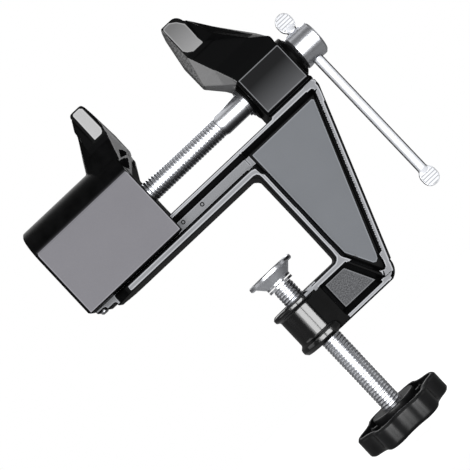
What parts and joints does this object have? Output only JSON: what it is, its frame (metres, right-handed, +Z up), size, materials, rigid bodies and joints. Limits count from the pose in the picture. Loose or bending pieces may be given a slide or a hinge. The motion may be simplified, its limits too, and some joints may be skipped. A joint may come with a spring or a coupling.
{
  "type": "table vise",
  "caption": "Small clamp-on table vise: C-frame with a fixed jaw, a jaw sliding on a beam, a spindle with tommy bar, and a clamp screw with swivel pad and lobed knob.",
  "frame": {"origin": "where the clamp screw's axis meets the flat underside of the beam, the face that sits on the table", "axes": "+Z up along the clamp screw towards the jaws, +X along the spindle from the moving jaw to the fixed jaw, Y across the vise"},
  "size_m": [0.1253, 0.0334, 0.1614],
  "materials": {
    "body_paint": "die-cast aluminium under glossy black paint, with grey flats",
    "screw_steel": "plated, with rolled threads",
    "bar_steel": "plated, ends pressed flat",
    "pad_steel": "turned and plated",
    "clip_steel": "spring steel, satin",
    "knob_plastic": "moulded, glossy black"
  },
  "bodies": {
    "frame": {"clamp_frame": "body_paint", "rail_stop_screw": "clip_steel"},
    "jaw": {"moving_jaw": "body_paint", "spindle_nut": "screw_steel"},
    "spindle": {"spindle": "screw_steel", "spindle_head": "bar_steel", "clip_washer": "clip_steel", "retaining_clip": "clip_steel"},
    "bar": {"tommy_bar": "bar_steel"},
    "carrier": {"pad_ring": "pad_steel"},
    "screw": {"clamp_screw": "screw_steel", "clamp_knob": "knob_plastic", "knob_insert": "screw_steel"},
    "pad": {"swivel_pad": "pad_steel"}
  },
  "joints": [
    {"name": "spindle_turn", "type": "hinge", "parent": "frame", "child": "spindle", "pos_m": [0, 0, 0.0224], "axis": [-1, 0, 0], "range_deg": [-0.6, 9907.8]},
    {"name": "jaw_slide", "type": "slide", "parent": "frame", "child": "jaw", "axis": [1, 0, 0], "range_m": [0, 0.0344]},
    {"name": "bar_slide", "type": "slide", "parent": "spindle", "child": "bar", "axis": [0, 0, 1], "range_m": [0, 0.0533]},
    {"name": "clamp_travel", "type": "slide", "parent": "frame", "child": "carrier", "axis": [0, 0, 1], "range_m": [-0.0062, 0.0265]},
    {"name": "clamp_turn", "type": "hinge", "parent": "carrier", "child": "screw", "pos_m": [0, 0, -0.05], "axis": [0, 0, 1], "range_deg": [-1786.2, 7632.6]},
    {"name": "pad_tilt", "type": "hinge", "parent": "carrier", "child": "pad", "pos_m": [0, 0, -0.0312], "axis": [0, 1, 0], "range_deg": [-4, 4]}
  ],
  "couplings": [
    {"joint": "spindle_turn", "follows": "jaw_slide", "rad_per_m": 5026.5},
    {"joint": "clamp_turn", "follows": "clamp_travel", "rad_per_m": 5026.5}
  ]
}
